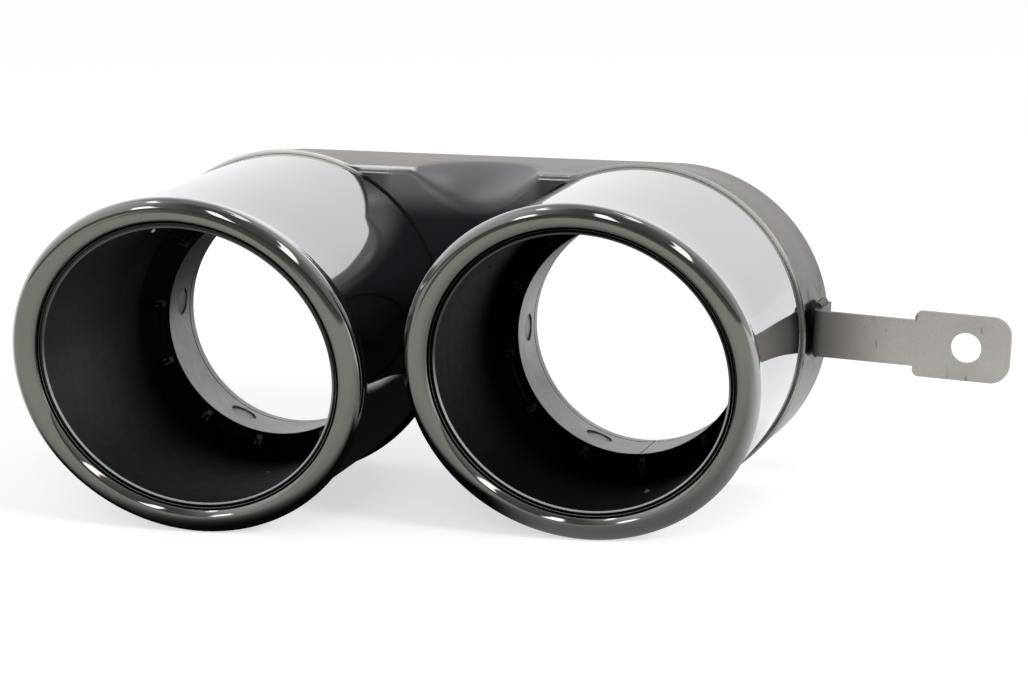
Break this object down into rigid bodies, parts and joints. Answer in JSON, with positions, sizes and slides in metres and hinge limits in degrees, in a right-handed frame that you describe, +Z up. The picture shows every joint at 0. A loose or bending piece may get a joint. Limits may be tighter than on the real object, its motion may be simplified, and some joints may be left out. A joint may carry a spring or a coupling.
{
  "type": "exhaust tip",
  "caption": "Twin exhaust tip with slash-cut rolled mouths, black inner sleeves, a pressed rear housing and a side hanger bracket.",
  "frame": {"origin": "centre of the left inlet at its rear mouth", "axes": "+X from the left outlet to the right one, +Y from the mouths towards the exhaust, +Z up"},
  "size_m": [0.267, 0.1386, 0.0999],
  "materials": {
    "black_chrome": "polished dark chrome",
    "black_sleeve": "matt black heat-proof paint",
    "bare_steel": "bare stainless sheet",
    "satin_steel": "satin dark-tinted stainless sheet",
    "weld": "weld metal with light heat tint",
    "bracket_steel": "dull bare steel strip"
  },
  "bodies": {
    "root": {"left_outlet_tube": "black_chrome", "right_outlet_tube": "black_chrome", "left_inner_sleeve": "black_sleeve", "right_inner_sleeve": "black_sleeve", "left_inlet_ring": "bare_steel", "right_inlet_ring": "bare_steel", "rear_housing": "satin_steel", "rear_plate": "bare_steel", "left_tube_weld": "weld", "right_tube_weld": "weld", "left_ring_weld": "weld", "right_ring_weld": "weld", "hanger_bracket": "bracket_steel", "bracket_weld": "weld"}
  },
  "joints": []
}
